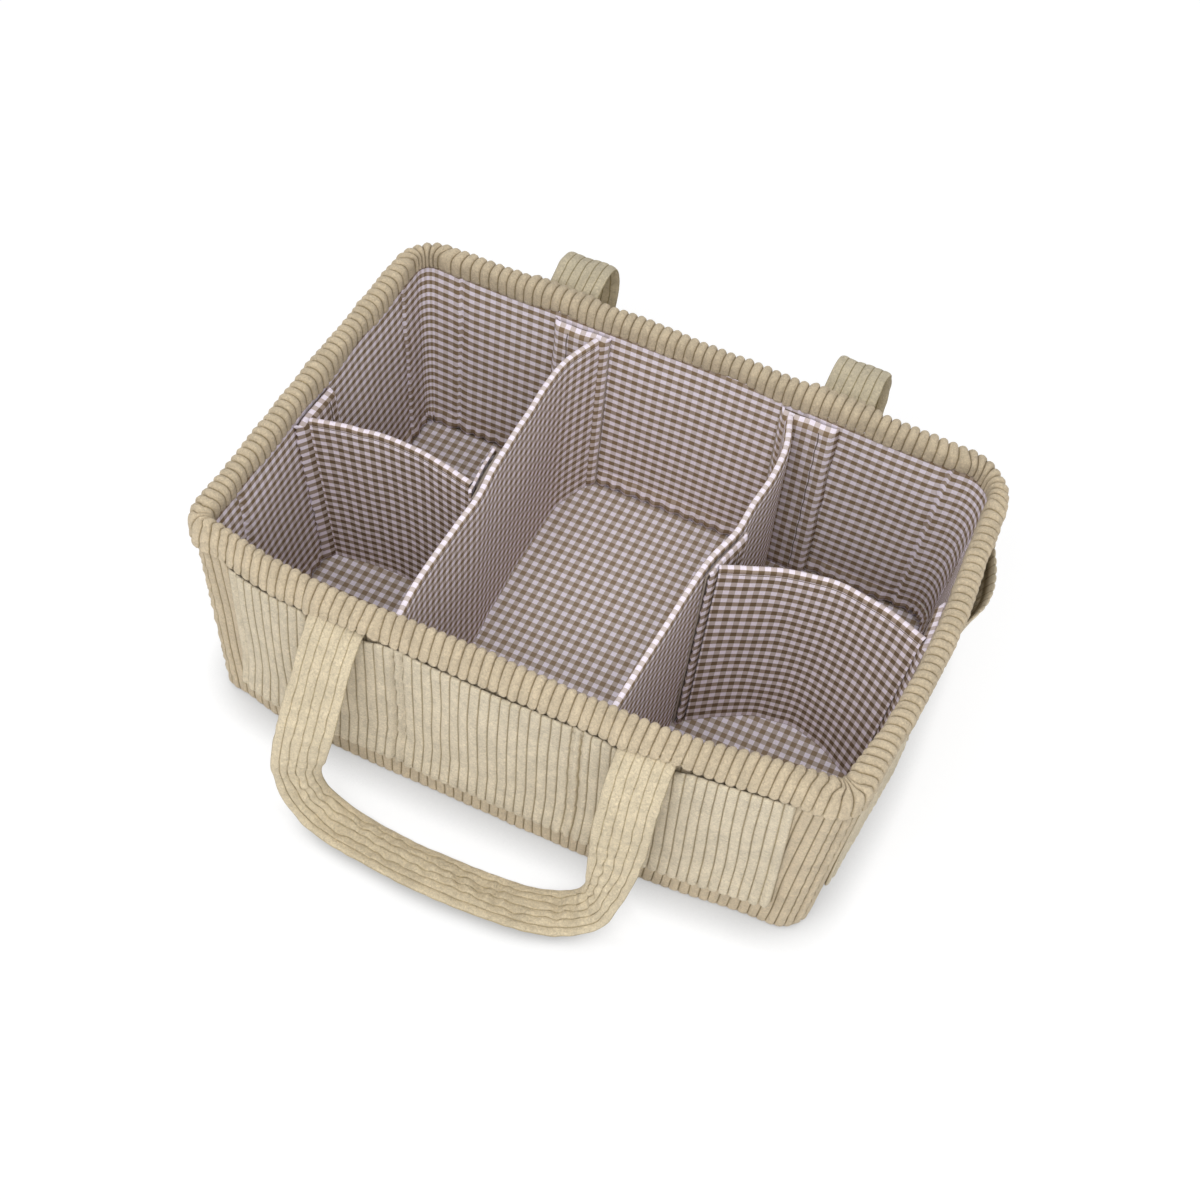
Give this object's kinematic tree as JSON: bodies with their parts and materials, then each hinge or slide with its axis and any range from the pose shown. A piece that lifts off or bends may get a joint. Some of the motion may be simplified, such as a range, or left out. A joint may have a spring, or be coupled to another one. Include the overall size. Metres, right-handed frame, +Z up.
{
  "type": "diaper caddy",
  "caption": "Open soft storage caddy with a padded rim, carrying straps on both long sides, flat outside pockets and lift-out fabric dividers.",
  "frame": {"origin": "middle of the base on the floor, where the base face rests", "axes": "+X along the caddy's length to the right, -Y to the front long side with the strap that lies forward, +Z up"},
  "size_m": [0.4093, 0.3829, 0.1505],
  "materials": {
    "corduroy": "matte, ribbed pile",
    "pocket_corduroy": "matte, ribbed pile",
    "checked_cotton": "matte, plain weave",
    "foam_sheet": "matte foam",
    "stiff_board": "matte",
    "tape_cloth": "matte, looped pile"
  },
  "bodies": {
    "tub": {"base_cloth": "corduroy", "base_board": "stiff_board", "floor_lining": "checked_cotton", "front_cloth": "corduroy", "front_foam": "foam_sheet", "front_lining": "checked_cotton", "right_cloth": "corduroy", "right_foam": "foam_sheet", "right_lining": "checked_cotton", "back_cloth": "corduroy", "back_foam": "foam_sheet", "back_lining": "checked_cotton", "left_cloth": "corduroy", "left_foam": "foam_sheet", "left_lining": "checked_cotton", "rim_hem": "corduroy", "front_pocket_panel": "pocket_corduroy", "back_pocket_panel": "pocket_corduroy", "right_pocket_panel": "pocket_corduroy", "left_pocket_panel": "pocket_corduroy", "front_strap_left_root": "corduroy", "front_strap_right_root": "corduroy", "back_strap_left_root": "corduroy", "back_strap_right_root": "corduroy", "left_front_loop_tape": "tape_cloth", "left_back_loop_tape": "tape_cloth", "left_end_loop_tape": "tape_cloth", "right_front_loop_tape": "tape_cloth", "right_back_loop_tape": "tape_cloth", "right_end_loop_tape": "tape_cloth"},
    "front_strap_arch": {"front_strap_left_arch": "corduroy", "front_strap_right_arch": "corduroy"},
    "front_strap_loop": {"front_handle_loop": "corduroy"},
    "back_strap_arch": {"back_strap_left_arch": "corduroy", "back_strap_right_arch": "corduroy"},
    "back_strap_loop": {"back_handle_loop": "corduroy"},
    "left_divider": {"left_divider_sleeve": "checked_cotton", "left_divider_board": "stiff_board", "left_divider_front_hook_tape": "tape_cloth", "left_divider_back_hook_tape": "tape_cloth", "left_divider_loop_tape": "tape_cloth"},
    "left_cross_divider": {"left_cross_divider_sleeve": "checked_cotton", "left_cross_divider_board": "stiff_board", "left_cross_divider_outer_hook_tape": "tape_cloth", "left_cross_divider_inner_hook_tape": "tape_cloth"},
    "right_divider": {"right_divider_sleeve": "checked_cotton", "right_divider_board": "stiff_board", "right_divider_front_hook_tape": "tape_cloth", "right_divider_back_hook_tape": "tape_cloth", "right_divider_loop_tape": "tape_cloth"},
    "right_cross_divider": {"right_cross_divider_sleeve": "checked_cotton", "right_cross_divider_board": "stiff_board", "right_cross_divider_outer_hook_tape": "tape_cloth", "right_cross_divider_inner_hook_tape": "tape_cloth"}
  },
  "joints": [
    {"name": "front_strap_lift", "type": "hinge", "parent": "tub", "child": "front_strap_arch", "pos_m": [0, -0.13963, 0.132], "axis": [-1, 0, 0], "range_deg": [0, 90]},
    {"name": "front_loop_swing", "type": "hinge", "parent": "front_strap_arch", "child": "front_strap_loop", "pos_m": [0, -0.16029, 0.106], "axis": [-1, 0, 0], "range_deg": [0, 90]},
    {"name": "back_strap_lift", "type": "hinge", "parent": "tub", "child": "back_strap_arch", "pos_m": [0, 0.14003, 0.139], "axis": [1, 0, 0], "range_deg": [0, 80]},
    {"name": "back_loop_swing", "type": "hinge", "parent": "back_strap_arch", "child": "back_strap_loop", "pos_m": [0, 0.17105, 0.12104], "axis": [1, 0, 0], "range_deg": [0, 100]},
    {"name": "left_divider_lift_out", "type": "slide", "parent": "tub", "child": "left_divider", "axis": [0, 0, 1], "range_m": [0, 0.15]},
    {"name": "left_cross_divider_lift_out", "type": "slide", "parent": "tub", "child": "left_cross_divider", "axis": [0, 0, 1], "range_m": [0, 0.15]},
    {"name": "right_divider_lift_out", "type": "slide", "parent": "tub", "child": "right_divider", "axis": [0, 0, 1], "range_m": [0, 0.15]},
    {"name": "right_cross_divider_lift_out", "type": "slide", "parent": "tub", "child": "right_cross_divider", "axis": [0, 0, 1], "range_m": [0, 0.15]}
  ],
  "couplings": [
    {"joint": "front_strap_lift", "follows": "front_loop_swing", "ratio": 1},
    {"joint": "back_strap_lift", "follows": "back_loop_swing", "ratio": 0.8}
  ]
}
